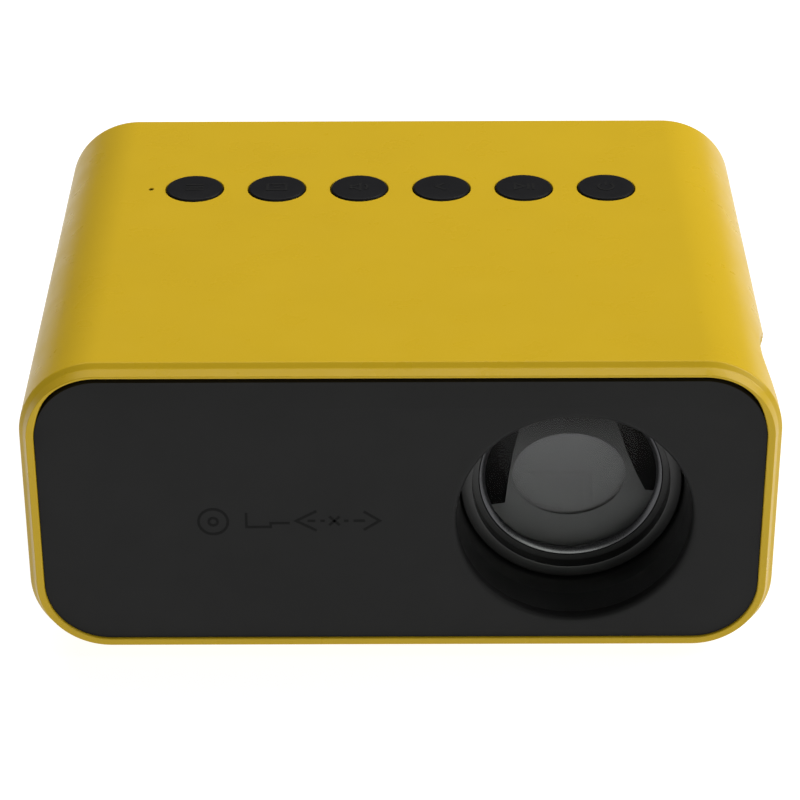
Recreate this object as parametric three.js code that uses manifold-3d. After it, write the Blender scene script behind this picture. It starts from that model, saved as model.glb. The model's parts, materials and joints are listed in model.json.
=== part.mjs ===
// Palm-size home projector: a one-piece sleeve holding an L-shaped light engine, its focus drive,
// fan, boards and speaker. Millimetres, +Z up. The lens looks along -Y, and +X is on the right
// when the lens faces the viewer. The origin is the middle of the footprint, level with the feet.
import * as THREE from "three";
import { mergeVertices } from "three/addons/utils/BufferGeometryUtils.js";
import Module from "manifold-3d";

const wasm = await Module();
wasm.setup();

// ---------------------------------------------------------------- driving dimensions
const FOOT_HEIGHT = 1.2;
const CASE = { width: 118, depth: 90, height: 52, corner: 12.6, wall: 2.5, lip: 2.2 };
const FRONT = -CASE.depth / 2;
const REAR = CASE.depth / 2;
const BOTTOM = FOOT_HEIGHT;
const TOP = BOTTOM + CASE.height;
const MIDDLE = (BOTTOM + TOP) / 2;
const SIDE = CASE.width / 2;
const FLOOR = BOTTOM + CASE.wall;
const CEILING = TOP - CASE.wall;

const PANEL = { thickness: 2, gap: 0.2, recess: 0.4 };
const KEYS = { count: 6, pitch: 14, hole: 5, cap: 4.8, y: 17.5, proud: 0.35, travel: 0.6 };
const KEY_NAMES = ["menu", "source", "volume", "previous", "play", "power"];
const LIGHT_HOLE = { x: -42.45, y: KEYS.y, radius: 0.5 };

// The lens sits right of the middle, at the bottom of a round recess in the front panel.
const LENS = { x: 27.25, z: BOTTOM + 24.4, opening: 18.5, recess: 11.4, radius: 17.75, length: 19.6 };
const RIM_Y = FRONT + LENS.recess;
const TUBE = { inner: 18, outer: 20, y0: FRONT + 2.7, y1: -12.4 };

// The focus knob lies in a round scoop in the right wall and drives a rack on the lens barrel.
const KNOB = { y: -24.7, z: BOTTOM + 29.5, radius: 11.2, x0: 54.5, x1: 58.4, ridges: 24 };
const SCOOP = { rim: 16, floor: 12.2, depth: 5, wall: 2 };
const GEAR = { module: 0.7, teeth: 10, pressure: THREE.MathUtils.degToRad(20), backlash: 0.25 };
const PITCH_RADIUS = (GEAR.module * GEAR.teeth) / 2;
const PINION = { x0: 47.6, x1: 50.4, bore: 1.7 };
const SHAFT_RADIUS = 1.6;

// The light path runs along +X at y = LIGHT_Y and is turned to -Y by the fold mirror.
const LIGHT_Y = 12;
const HOUSING = { z0: 8.4, z1: 42.3, wall: 1.6, x1: 47.5, y0: -10.5, y1: 34.5 };
const MIRROR = { width: 42, height: 31, thickness: 1.8 };
const FUNNEL = { x0: -28, x1: -0.3, narrow: 24, wideY: 45, wideZ: 33.4, wall: 1.5 };
const HEAT_SINK = { x0: -54.5, x1: -31.2, base: 3, y0: -3, y1: 28, z0: 9.6, z1: 41.6, fins: 9, fin: 1.2 };
const FAN = { x: -34, z: LENS.z, size: 30, y0: 32.2, y1: 42.2, bore: 13.8 };

const TRAY = { x0: -31, x1: 47, y0: -41, y1: 41, z0: 3.9, z1: 5.1 };
const BOARD = { x0: -30, x1: 47.5, y0: -11.5, y1: 41.4, z0: 6.3, z1: 7.5 };
const KEY_BOARD = { x: 48, y0: 9.5, y1: 24.5, z0: 44.3, z1: 45.5 };
const SPEAKER = { y: -22, z: MIDDLE, radius: 14 };
const FEET = { x: 44, y: 34, radius: 5, stem: 2.5 };
const SCREW_BOSS = { x: 51.35, z: 7.65, radius: 3.4, length: 12, pilot: 1 };
const KEY_BOSS = { x: 45, y: 12.3, radius: 2.4, pilot: 0.8 };

// ---------------------------------------------------------------- materials
function finish(color, roughness, metalness = 0, opacity = 1) {
  return new THREE.MeshStandardMaterial({
    color, roughness, metalness, opacity, transparent: opacity < 1,
  });
}
const FINISH = {
  yellow: finish(0xc9a72c, 0.42),
  panelBlack: finish(0x262626, 0.5),
  keyBlack: finish(0x232326, 0.45),
  barrelBlack: finish(0x1c1c1c, 0.35),
  glass: finish(0x8fa3ad, 0.05, 0, 0.4),
  mirror: finish(0xe4e8ea, 0.05, 1),
  grey: finish(0x55585c, 0.6),
  board: finish(0x1f6b3f, 0.5),
  aluminium: finish(0xb4b8bb, 0.35, 0.9),
  steel: finish(0x9a9da1, 0.3, 1),
  led: finish(0xf0e2a0, 0.4),
  fan: finish(0x2b2c2f, 0.5),
  paper: finish(0x2a2a2a, 0.85),
  rubber: finish(0x1d1d1d, 0.8),
  wire: finish(0xa23127, 0.5),
  ribbon: finish(0xb5722a, 0.45),
};

// ---------------------------------------------------------------- solids
// A closed three.js geometry as a manifold-3d solid.
function solid(geometry) {
  const bare = geometry.index ? geometry.toNonIndexed() : geometry.clone();
  for (const name of Object.keys(bare.attributes)) if (name !== "position") bare.deleteAttribute(name);
  const merged = mergeVertices(bare, 1e-4);
  return new wasm.Manifold(
    new wasm.Mesh({
      numProp: 3,
      vertProperties: merged.attributes.position.array,
      triVerts: new Uint32Array(merged.index.array),
    }),
  );
}

// A manifold-3d solid as a three.js geometry.
function geometryOf(made) {
  const mesh = made.getMesh();
  const geometry = new THREE.BufferGeometry();
  geometry.setAttribute("position", new THREE.BufferAttribute(mesh.vertProperties, 3));
  geometry.setIndex(new THREE.BufferAttribute(mesh.triVerts, 1));
  geometry.computeVertexNormals();
  return geometry;
}

const join = (first, ...others) => others.reduce((sum, other) => sum.add(other), first);
const cut = (first, ...others) => others.reduce((rest, other) => rest.subtract(other), first);

// A block from its low corner to its high corner.
function block(x0, y0, z0, x1, y1, z1) {
  const box = new THREE.BoxGeometry(x1 - x0, y1 - y0, z1 - z0);
  return solid(box.translate((x0 + x1) / 2, (y0 + y1) / 2, (z0 + z1) / 2));
}

// Turns a geometry's own Y axis to X, Y or Z.
function turned(geometry, axis) {
  if (axis === "x") return geometry.rotateZ(-Math.PI / 2);
  if (axis === "z") return geometry.rotateX(Math.PI / 2);
  return geometry;
}

// A cylinder along an axis from `from` to `to`, centred on (a, b) in the other two axes.
function rod(axis, radius, from, to, a = 0, b = 0, sides = 16) {
  const geometry = turned(new THREE.CylinderGeometry(radius, radius, to - from, sides), axis);
  const middle = (from + to) / 2;
  const at = { x: [middle, a, b], y: [a, middle, b], z: [a, b, middle] }[axis];
  return solid(geometry.translate(...at));
}

// A solid of revolution about an axis from a closed profile of [radius, height] points.
function revolved(axis, profile, sides = 32) {
  const area = profile.reduce((sum, [r, h], i) => {
    const [r2, h2] = profile[(i + 1) % profile.length];
    return sum + r * h2 - r2 * h;
  }, 0);
  const ordered = area > 0 ? profile : [...profile].reverse();
  const points = [...ordered, ordered[0]].map(([r, h]) => new THREE.Vector2(r, h));
  return solid(turned(new THREE.LatheGeometry(points, sides), axis));
}

// A rectangle with round corners, centred on (x, y).
function roundedRectangle(width, height, radius, x = 0, y = 0) {
  const right = x + width / 2;
  const top = y + height / 2;
  const left = x - width / 2;
  const bottom = y - height / 2;
  const shape = new THREE.Shape();
  shape.moveTo(left + radius, bottom);
  shape.lineTo(right - radius, bottom);
  shape.absarc(right - radius, bottom + radius, radius, -Math.PI / 2, 0);
  shape.lineTo(right, top - radius);
  shape.absarc(right - radius, top - radius, radius, 0, Math.PI / 2);
  shape.lineTo(left + radius, top);
  shape.absarc(left + radius, top - radius, radius, Math.PI / 2, Math.PI);
  shape.lineTo(left, bottom + radius);
  shape.absarc(left + radius, bottom + radius, radius, Math.PI, Math.PI * 1.5);
  return shape;
}

const polygon = (points) => new THREE.Shape(points.map(([x, y]) => new THREE.Vector2(x, y)));

// The outline of a flat strip that follows a path.
function strip(path, thickness) {
  const sides = [1, -1].map((sign) => path.map(([x, y], i) => {
    const [xa, ya] = path[Math.max(i - 1, 0)];
    const [xb, yb] = path[Math.min(i + 1, path.length - 1)];
    const half = (sign * thickness) / 2 / Math.hypot(xb - xa, yb - ya);
    return [x - (yb - ya) * half, y + (xb - xa) * half];
  }));
  return polygon([...sides[0], ...sides[1].reverse()]);
}

// A shape drawn in X and Z, carried along Y from y0 to y1.
function extrudedY(shape, y0, y1, options = {}) {
  const geometry = new THREE.ExtrudeGeometry(shape, {
    depth: y1 - y0, bevelEnabled: false, curveSegments: 6, ...options,
  });
  return solid(geometry.rotateX(Math.PI / 2).translate(0, y1, 0));
}

// A shape drawn in Y and Z, carried along X from x0 to x1.
function extrudedX(shape, x0, x1) {
  const geometry = new THREE.ExtrudeGeometry(shape, { depth: x1 - x0, bevelEnabled: false });
  const axes = new THREE.Matrix4().makeBasis(
    new THREE.Vector3(0, 1, 0), new THREE.Vector3(0, 0, 1), new THREE.Vector3(1, 0, 0),
  );
  return solid(geometry.applyMatrix4(axes).translate(x0, 0, 0));
}

// A shape drawn in X and Y, carried along Z from z0 to z1.
function extrudedZ(shape, z0, z1, curveSegments = 8) {
  const geometry = new THREE.ExtrudeGeometry(shape, { depth: z1 - z0, bevelEnabled: false, curveSegments });
  return solid(geometry.translate(0, 0, z0));
}

// A wire or ribbon: a section carried along a smooth curve through the points.
function lead(points, section, steps) {
  const route = points.map((point) => new THREE.Vector3(...point));
  const curve = new THREE.CatmullRomCurve3(route, false, "centripetal");
  return solid(new THREE.ExtrudeGeometry(section, { steps, extrudePath: curve, curveSegments: 2 }));
}

const model = new THREE.Group();
model.name = "home_projector";

// Adds a solid to the model as a named mesh, drawn about its own origin and moved to `at`.
function place(name, made, material, at = [0, 0, 0], parent = model) {
  const mesh = new THREE.Mesh(geometryOf(made), material);
  mesh.name = name;
  mesh.position.set(...at);
  parent.add(mesh);
  return mesh;
}

// ---------------------------------------------------------------- casing
const bossPlaces = [-1, 1].flatMap((sx) => [-1, 1].map((sz) => [sx * SCREW_BOSS.x, sz]));
const bossHeight = (sz) => (sz < 0 ? BOTTOM + SCREW_BOSS.z : TOP - SCREW_BOSS.z);

function scoopProfile(offset, reach) {
  // From the rim at the wall's face to the floor, as half a cosine wave.
  const steps = 4;
  const profile = [[0, SIDE - SCOOP.depth - offset]];
  for (let i = 0; i <= steps; i++) {
    const t = i / steps;
    const radius = SCOOP.floor + (SCOOP.rim - SCOOP.floor) * t + offset;
    const height = SIDE - SCOOP.depth * (0.5 + 0.5 * Math.cos(Math.PI * t)) - offset;
    profile.push([radius, height]);
  }
  profile.push([SCOOP.rim + offset, SIDE + reach], [0, SIDE + reach]);
  return profile;
}

// The case's outline, drawn in by an inset all round.
const insideOutline = (inset) =>
  roundedRectangle(CASE.width - 2 * inset, CASE.height - 2 * inset, CASE.corner - inset, 0, MIDDLE);

function makeSleeve() {
  const lip = {
    bevelEnabled: true,
    bevelSize: CASE.lip,
    bevelThickness: CASE.lip,
    bevelOffset: -CASE.lip,
    bevelSegments: 3,
  };
  const overrun = 10;
  const rounded = extrudedY(insideOutline(0), FRONT + CASE.lip, REAR + overrun, lip);
  const outer = cut(rounded, block(-SIDE - 5, REAR, BOTTOM - 5, SIDE + 5, REAR + 2 * overrun, TOP + 5));
  const inner = extrudedY(insideOutline(CASE.wall), FRONT - 5, REAR + 5);
  let sleeve = cut(outer, inner);

  // Everything that stands on the inside of the wall: rear screw bosses, key board bosses, speaker ring.
  const cup = revolved("x", scoopProfile(SCOOP.wall, -1), 28).translate(0, KNOB.y, KNOB.z);
  const screwBosses = bossPlaces.map(([x, sz]) =>
    rod("y", SCREW_BOSS.radius, REAR - 2.6 - SCREW_BOSS.length, REAR - 2.6, x, bossHeight(sz), 12));
  const keyBosses = [-1, 1].map((side) =>
    rod("z", KEY_BOSS.radius, KEY_BOARD.z1, CEILING + 1, side * KEY_BOSS.x, KEY_BOSS.y, 12));
  const ring = cut(
    rod("x", SPEAKER.radius + 1.6, -SIDE + 1, -SIDE + CASE.wall + 3, SPEAKER.y, SPEAKER.z, 24),
    rod("x", SPEAKER.radius + 0.3, -SIDE + CASE.wall, 0, SPEAKER.y, SPEAKER.z, 24),
  );
  sleeve = join(sleeve, cup, ring, ...screwBosses, ...keyBosses).intersect(outer);

  // The scoop for the knob, and its shaft hole.
  sleeve = cut(
    sleeve,
    revolved("x", scoopProfile(0, 5), 28).translate(0, KNOB.y, KNOB.z),
    rod("x", 2, 45, SIDE, KNOB.y, KNOB.z, 16),
  );
  // Pilot holes, key holes, the status light's hole.
  sleeve = cut(
    sleeve,
    ...bossPlaces.map(([x, sz]) => rod("y", SCREW_BOSS.pilot, REAR - 12, REAR, x, bossHeight(sz), 8)),
    ...[-1, 1].map((s) => rod("z", KEY_BOSS.pilot, 40, CEILING, s * KEY_BOSS.x, KEY_BOSS.y, 8)),
    ...keyPlaces().map((x) => rod("z", KEYS.hole, CEILING - 1, TOP + 1, x, KEYS.y, 16)),
    rod("z", LIGHT_HOLE.radius, CEILING - 1, TOP + 1, LIGHT_HOLE.x, LIGHT_HOLE.y, 8),
  );
  return cut(sleeve, ...speakerHoles(), ...intakeSlots(), ...feetPlaces().map(([x, y]) =>
    rod("z", FEET.stem + 0.2, BOTTOM - 1, FLOOR + 1, x, y, 8)));
}

const keyPlaces = () => Array.from({ length: KEYS.count }, (_, i) => (i - (KEYS.count - 1) / 2) * KEYS.pitch);
const feetPlaces = () => [-1, 1].flatMap((sx) => [-1, 1].map((sy) => [sx * FEET.x, sy * FEET.y]));

// Nineteen holes in a hexagon, in the left wall in front of the speaker.
function speakerHoles() {
  const pitch = 4.2;
  const holes = [];
  for (let row = -2; row <= 2; row++) {
    const count = 5 - Math.abs(row);
    for (let i = 0; i < count; i++) {
      const y = SPEAKER.y + (i - (count - 1) / 2) * pitch;
      const z = SPEAKER.z + row * pitch * Math.sin(Math.PI / 3);
      holes.push(rod("x", 0.9, -SIDE - 1, -SIDE + CASE.wall + 0.5, y, z, 6));
    }
  }
  return holes;
}

// Air comes in through slots in the floor, under the heat sink.
function intakeSlots() {
  return Array.from({ length: 6 }, (_, i) =>
    extrudedZ(roundedRectangle(2, 30, 0.99, -50 + i * 3.8, 4), BOTTOM - 1, FLOOR + 1, 2));
}

const panelOutline = () => insideOutline(CASE.wall + PANEL.gap);

function makeFrontPanel() {
  const y0 = FRONT + PANEL.recess;
  const y1 = y0 + PANEL.thickness;
  const tabs = [-40, 0].map((x) => block(x - 4, y1 - 0.5, CEILING - 1.8, x + 4, y1 + 3, CEILING - 0.4));
  return cut(
    join(extrudedY(panelOutline(), y0, y1), ...tabs),
    rod("y", LENS.opening, y0 - 1, y1 + 1, LENS.x, LENS.z, 32),
  );
}

// The sockets stand on the main board, just behind the rear panel.
const PORTS = {
  usb: { x: 39.5, width: 13.2, z0: BOARD.z1, height: 5.8, depth: 13.4 },
  power: { x: 26.2, width: 9, z0: BOARD.z1, height: 3.3, depth: 8.4 },
  audio: { x: 16.4, width: 6.4, z0: BOARD.z1, height: 5.4, depth: 11 },
};
const PORT_FACE = REAR - 0.9;

function slotRow(centreX, halfWidth, z0, count, pitch, height) {
  return Array.from({ length: count }, (_, i) => {
    const z = z0 + i * pitch;
    return extrudedY(roundedRectangle(2 * halfWidth(z), height, height / 2 - 0.01, centreX, z), 40, 50, {
      curveSegments: 2,
    });
  });
}

function makeRearPanel() {
  const y1 = REAR - PANEL.recess;
  const y0 = y1 - PANEL.thickness;
  const fanSlots = slotRow(FAN.x, (z) => Math.sqrt(14.2 ** 2 - (z - FAN.z) ** 2), FAN.z - 12, 7, 4, 2.2);
  const ventSlots = slotRow(28, () => 14, 20.5, 6, 3.8, 1.8);
  const portHoles = Object.values(PORTS).map((p) =>
    extrudedY(
      roundedRectangle(p.width + 0.6, p.height + 0.6, 0.5, p.x, p.z0 + p.height / 2),
      y0 - 1, y1 + 1, { curveSegments: 2 },
    ));
  const screwHoles = bossPlaces.flatMap(([x, sz]) => [
    rod("y", 1.5, y0 - 1, y1 + 1, x, bossHeight(sz), 10),
    rod("y", 2.5, y1 - 1.1, y1 + 1, x, bossHeight(sz), 16),
  ]);
  return cut(extrudedY(panelOutline(), y0, y1), ...fanSlots, ...ventSlots, ...portHoles, ...screwHoles);
}

function makeTray() {
  const plate = extrudedZ(
    roundedRectangle(TRAY.x1 - TRAY.x0, TRAY.y1 - TRAY.y0, 3, (TRAY.x0 + TRAY.x1) / 2, 0),
    TRAY.z0, TRAY.z1, 3,
  );
  const posts = [[-27, -8], [-27, 37], [6, -8], [6, 37.5]].map(([x, y]) =>
    rod("z", 2, TRAY.z1 - 0.2, BOARD.z0 - 0.05, x, y, 10));
  // Two saddles carry the lens tube.
  const saddles = [-40, -18].map((y) =>
    cut(
      block(LENS.x - 15, y, TRAY.z1 - 0.2, LENS.x + 15, y + 3, 13),
      rod("y", TUBE.outer + 0.3, y - 1, y + 4, LENS.x, LENS.z, 32),
    ));
  const footWells = feetPlaces().map(([x, y]) => rod("z", FEET.stem + 1, TRAY.z0 - 1, TRAY.z1 + 1, x, y, 10));
  const flangeSlot = block(LENS.x - 7, TUBE.y1 - 2.4, TRAY.z0 - 1, LENS.x + 7, TUBE.y1 + 0.4, TRAY.z1 + 1);
  return cut(join(plate, ...posts, ...saddles), ...footWells, flangeSlot);
}

function makeFoot() {
  const neck = FEET.stem;
  return revolved("z", [
    [0, 0], [FEET.radius - 0.4, 0], [FEET.radius, 0.4], [FEET.radius, FOOT_HEIGHT - 0.05],
    [neck, FOOT_HEIGHT - 0.05], [neck, FLOOR - 0.2], [0, FLOOR - 0.2],
  ], 12);
}

function makePanelScrew() {
  // A pan head with a cross slot, and a plain shank for its thread.
  const head = revolved("y", [[0, 0], [2.2, 0], [2.2, 0.5], [1.5, 0.9], [0, 0.9]], 12);
  const slot = join(block(-1.3, 0.4, -0.25, 1.3, 2, 0.25), block(-0.25, 0.4, -1.3, 0.25, 2, 1.3));
  return join(cut(head, slot), rod("y", SCREW_BOSS.pilot - 0.2, -9, 0.2, 0, 0, 8));
}

// ---------------------------------------------------------------- keys
const SWITCH_TOP = KEY_BOARD.z1 + 3.6;
const FLANGE = { radius: 5.8, z0: SWITCH_TOP + KEYS.travel + 0.05, z1: CEILING - 0.1 };

function makeKey() {
  const top = TOP + KEYS.proud;
  return revolved("z", [
    [0, FLANGE.z0], [FLANGE.radius, FLANGE.z0], [FLANGE.radius, FLANGE.z1], [KEYS.cap, FLANGE.z1],
    [KEYS.cap, top - 0.35], [KEYS.cap - 0.4, top], [0, top],
  ], 16);
}

function makeTactSwitch() {
  const half = 3;
  return join(
    block(-half, -half, KEY_BOARD.z1 + 0.05, half, half, KEY_BOARD.z1 + 2.6),
    rod("z", 1.7, KEY_BOARD.z1 + 2, SWITCH_TOP, 0, 0, 12),
  );
}

function makeKeyBoard() {
  const { x, y0, y1, z0, z1 } = KEY_BOARD;
  const plate = block(-x, y0, z0, x, y1, z1 - 0.05);
  const holes = [-1, 1].map((s) => rod("z", 1, 40, 50, s * KEY_BOSS.x, KEY_BOSS.y, 8));
  const lamp = rod("z", 0.8, z1 - 0.5, z1 + 0.8, LIGHT_HOLE.x, KEYS.y, 4);
  return join(cut(plate, ...holes), lamp);
}

function makeLightPipe() {
  const collar = CEILING - 0.3;
  return revolved("z", [
    [0, KEY_BOARD.z1 + 1], [1.1, KEY_BOARD.z1 + 1], [1.1, collar], [LIGHT_HOLE.radius - 0.08, collar + 0.1],
    [LIGHT_HOLE.radius - 0.08, TOP - 0.3], [0, TOP - 0.3],
  ], 12);
}

// ---------------------------------------------------------------- projection lens and focus drive
// A lens as the profile of two spherical faces: a positive bulge is convex, a negative one hollow.
function lensProfile(radius, y0, y1, bulgeFront, bulgeRear) {
  const steps = 3;
  const face = (edge, bulge, sign) =>
    Array.from({ length: steps + 1 }, (_, i) => {
      const r = (radius * i) / steps;
      const curvature = (radius ** 2 + bulge ** 2) / (2 * Math.abs(bulge));
      const sag = curvature - Math.sqrt(curvature ** 2 - r ** 2);
      return [r, edge + sign * (bulge - Math.sign(bulge) * sag)];
    });
  return [...face(y0, bulgeFront, -1), ...face(y1, bulgeRear, 1).reverse()];
}

function makeGuideTube() {
  const { inner, outer, y0, y1 } = TUBE;
  const flange = 2;
  const body = revolved("y", [
    [inner + 0.5, y0], [outer, y0], [outer, y1 - flange], [outer + 1.4, y1 - flange],
    [outer + 1.4, y1], [inner, y1], [inner, RIM_Y - 4.5],
  ], 32);
  // The rack slides in a slot in the right side, open at the rear.
  const rackZ = KNOB.z - PITCH_RADIUS - LENS.z;
  const rackSlot = block(12, RIM_Y + 0.2, rackZ - 5.4, 30, 0, rackZ + 1);
  return cut(body, rackSlot);
}

function makeBarrel() {
  const rear = RIM_Y + LENS.length;
  return revolved("y", [
    [15.8, RIM_Y], [LENS.radius, RIM_Y], [LENS.radius, rear], [13.6, rear],
    [13.6, rear - 5], [12.4, rear - 5], [12.4, RIM_Y + 8.4], [14.8, RIM_Y + 8.4],
    [14.8, RIM_Y + 2], [15.8, RIM_Y + 2],
  ], 32);
}

const makeRetainingRing = () => revolved("y", [
  [13.7, RIM_Y + 2.3], [14.65, RIM_Y + 2.1], [14.65, RIM_Y + 3], [13.7, RIM_Y + 2.65],
], 24);

// Half the angle that a gear tooth spans at a radius, from the involute of its base circle.
function toothHalfAngle(radius) {
  const involute = (angle) => Math.tan(angle) - angle;
  const base = PITCH_RADIUS * Math.cos(GEAR.pressure);
  const atPitch = Math.PI / (2 * GEAR.teeth) - GEAR.backlash / (2 * PITCH_RADIUS);
  const angle = radius > base ? Math.acos(base / radius) : 0;
  return atPitch + involute(GEAR.pressure) - involute(angle);
}

function makePinion() {
  const root = PITCH_RADIUS - 1.15 * GEAR.module;
  const tip = PITCH_RADIUS + 0.75 * GEAR.module;
  const radii = [root, 3.4, tip];
  const points = [];
  for (let tooth = 0; tooth < GEAR.teeth; tooth++) {
    // A gap, not a tooth, faces straight down to the rack.
    const middle = -Math.PI / 2 + ((tooth + 0.5) * 2 * Math.PI) / GEAR.teeth;
    for (const r of radii) points.push([r, middle - toothHalfAngle(r)]);
    for (const r of [...radii].reverse()) points.push([r, middle + toothHalfAngle(r)]);
  }
  const shape = polygon(points.map(([r, a]) => [r * Math.cos(a), r * Math.sin(a)]));
  return cut(extrudedX(shape, PINION.x0, PINION.x1), rod("x", PINION.bore, 40, 60, 0, 0, 12));
}

function makeRack() {
  const pitch = Math.PI * GEAR.module;
  const half = (pitch / 2 - GEAR.backlash / 2) / 2;
  const slope = Math.tan(GEAR.pressure);
  const up = 0.6 * GEAR.module;
  const down = 0.95 * GEAR.module;
  const points = [];
  const teeth = 2;
  for (let tooth = -teeth; tooth <= teeth; tooth++) {
    const y = tooth * pitch;
    points.push([y - half - down * slope, -down], [y - half + up * slope, up]);
    points.push([y + half - up * slope, up], [y + half + down * slope, -down]);
  }
  const end = teeth * pitch + 1.1;
  const shape = polygon([[-end, -4.4], [-end, -down], ...points, [end, -down], [end, -4.4]].reverse());
  return extrudedX(shape, 0, 5.2);
}

function makeKnob() {
  // A ridged rim, a shallow finger dish in the face, and the shaft that carries the pinion.
  const points = [];
  for (let i = 0; i < KNOB.ridges; i++) {
    for (const [step, depth] of [[0, 0.4], [0.35, 0], [0.65, 0]]) {
      const angle = ((i + step) * 2 * Math.PI) / KNOB.ridges;
      const radius = KNOB.radius - depth;
      points.push([radius * Math.cos(angle), radius * Math.sin(angle)]);
    }
  }
  const disc = extrudedX(polygon(points), KNOB.x0, KNOB.x1 - 0.5);
  const face = revolved("x", [
    [0, KNOB.x1 - 0.6], [KNOB.radius - 0.5, KNOB.x1 - 0.6], [KNOB.radius - 1.1, KNOB.x1], [0, KNOB.x1],
  ], 24);
  const dimpleRadius = 9;
  const dimple = solid(new THREE.SphereGeometry(dimpleRadius, 20, 12))
    .translate(KNOB.x1 + dimpleRadius - 1.4, 0, 5.4);
  const hub = rod("x", 3.2, 54.2, KNOB.x0 + 0.2);
  const shaft = rod("x", SHAFT_RADIUS, PINION.x0 - 0.4, KNOB.x0 + 0.2, 0, 0, 12);
  return join(cut(join(disc, face), dimple), hub, shaft);
}

function makeKnobClip() {
  const ring = revolved("x", [[1.75, 50.9], [3.3, 50.9], [3.3, 51.5], [1.75, 51.5]], 16);
  return cut(ring, block(50, -0.9, 0, 52, 0.9, 5));
}

// ---------------------------------------------------------------- light engine
const diagonal = HOUSING.x1 - 2.75;
const housingOutline = (inset) => {
  const skew = inset * Math.SQRT2;
  const x1 = HOUSING.x1 - inset;
  const y0 = HOUSING.y0 + inset;
  const y1 = HOUSING.y1 - inset;
  const line = diagonal - skew;
  const x0 = inset ? -5 : 0;
  return polygon([[x0, y0], [x1, y0], [x1, line - x1], [line - y1, y1], [x0, y1]]);
};

function makeHousing() {
  const shell = extrudedZ(housingOutline(0), HOUSING.z0, HOUSING.z1);
  const room = extrudedZ(housingOutline(HOUSING.wall), HOUSING.z0 + HOUSING.wall, HOUSING.z1 + 5);
  const lensHole = rod("y", 16.3, HOUSING.y0 - 5, 0, LENS.x, LENS.z, 32);
  const ribbonSlot = block(0.4, 5, HOUSING.z0 - 1, 2.9, 19, HOUSING.z0 + 3);
  return cut(shell, room, lensHole, ribbonSlot);
}

const makeHousingCover = () => {
  const plate = extrudedZ(housingOutline(0), HOUSING.z1 + 0.1, HOUSING.z1 + 1.5);
  const ribs = [8, 20, 32].map((x) => block(x, -8, HOUSING.z1 + 1.3, x + 1.2, 6, HOUSING.z1 + 1.75));
  return join(plate, ...ribs);
};

function makeMirror() {
  const middle = new THREE.Vector3(LENS.x, LIGHT_Y, LENS.z);
  const glass = new THREE.BoxGeometry(MIRROR.width, MIRROR.thickness, MIRROR.height);
  glass.translate(0, MIRROR.thickness / 2, 0).rotateZ(-Math.PI / 4);
  return solid(glass.translate(...middle));
}

// A thin plate across the light path.
const crossPlate = (x0, x1, depth, height) =>
  block(x0, LIGHT_Y - depth / 2, LENS.z - height / 2, x1, LIGHT_Y + depth / 2, LENS.z + height / 2);

// A four-sided taper along X from one rectangle to another, from a four-sided cylinder.
function taper(x0, x1, depth0, height0, depth1, height1) {
  const geometry = new THREE.CylinderGeometry(Math.SQRT1_2, Math.SQRT1_2, 1, 4, 1).rotateY(Math.PI / 4);
  turned(geometry, "x");
  const position = geometry.attributes.position;
  for (let i = 0; i < position.count; i++) {
    const far = position.getX(i) > 0;
    position.setXYZ(
      i,
      far ? x1 : x0,
      LIGHT_Y + position.getY(i) * (far ? depth1 : depth0),
      LENS.z + position.getZ(i) * (far ? height1 : height0),
    );
  }
  return solid(geometry);
}

function makeFunnel() {
  const { x0, x1, narrow, wideY, wideZ, wall } = FUNNEL;
  const outer = taper(x0, x1, narrow, narrow, wideY, wideZ);
  const hole = 2 * wall;
  const slopeY = (wideY - narrow) / (x1 - x0);
  const slopeZ = (wideZ - narrow) / (x1 - x0);
  const inner = taper(
    x0 - 1, x1 + 1,
    narrow - hole - slopeY, narrow - hole - slopeZ,
    wideY - hole + slopeY, wideZ - hole + slopeZ,
  );
  // A bulkhead near the narrow end carries the condenser lens.
  const bulkhead = cut(
    crossPlate(-25.6, -24.2, narrow, narrow),
    rod("x", 8.2, -30, -20, LIGHT_Y, LENS.z, 24),
  );
  return join(cut(outer, inner), bulkhead);
}

const makeCondenser = () => revolved("x", lensProfile(9, -3, 1, 0.4, 4.6), 24);

function makeHeatSink() {
  const { x0, x1, base, y0, y1, z0, z1, fins, fin } = HEAT_SINK;
  const pitch = (z1 - z0 - fin) / (fins - 1);
  const plates = Array.from({ length: fins }, (_, i) =>
    block(x0, y0, z0 + i * pitch, x1 - base + 0.5, y1, z0 + i * pitch + fin));
  return join(block(x1 - base, y0, z0, x1, y1, z1), ...plates);
}

// ---------------------------------------------------------------- fan
function makeFanFrame() {
  const body = extrudedY(roundedRectangle(FAN.size, FAN.size, 2.5), FAN.y0, FAN.y1, { curveSegments: 2 });
  const bore = rod("y", FAN.bore, FAN.y0 - 1, FAN.y1 - 1.2, 0, 0, 28);
  const outlet = cut(
    rod("y", FAN.bore, FAN.y1 - 2, FAN.y1 + 1, 0, 0, 28),
    rod("y", 7, FAN.y1 - 3, FAN.y1 + 2),
  );
  const arms = [45, 135, 225, 315].map((angle) =>
    block(5, FAN.y1 - 1.2, -0.9, FAN.bore + 1, FAN.y1, 0.9).rotate([0, angle, 0]));
  const screws = [-1, 1].flatMap((a) =>
    [-1, 1].map((b) => rod("y", 1.3, FAN.y0 - 1, FAN.y1 + 1, a * 12.4, b * 12.4, 8)));
  const spindle = rod("y", 1, FAN.y0 + 3, FAN.y1 - 1, 0, 0, 8);
  return join(cut(join(cut(body, bore, outlet), ...arms), ...screws), spindle);
}

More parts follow.
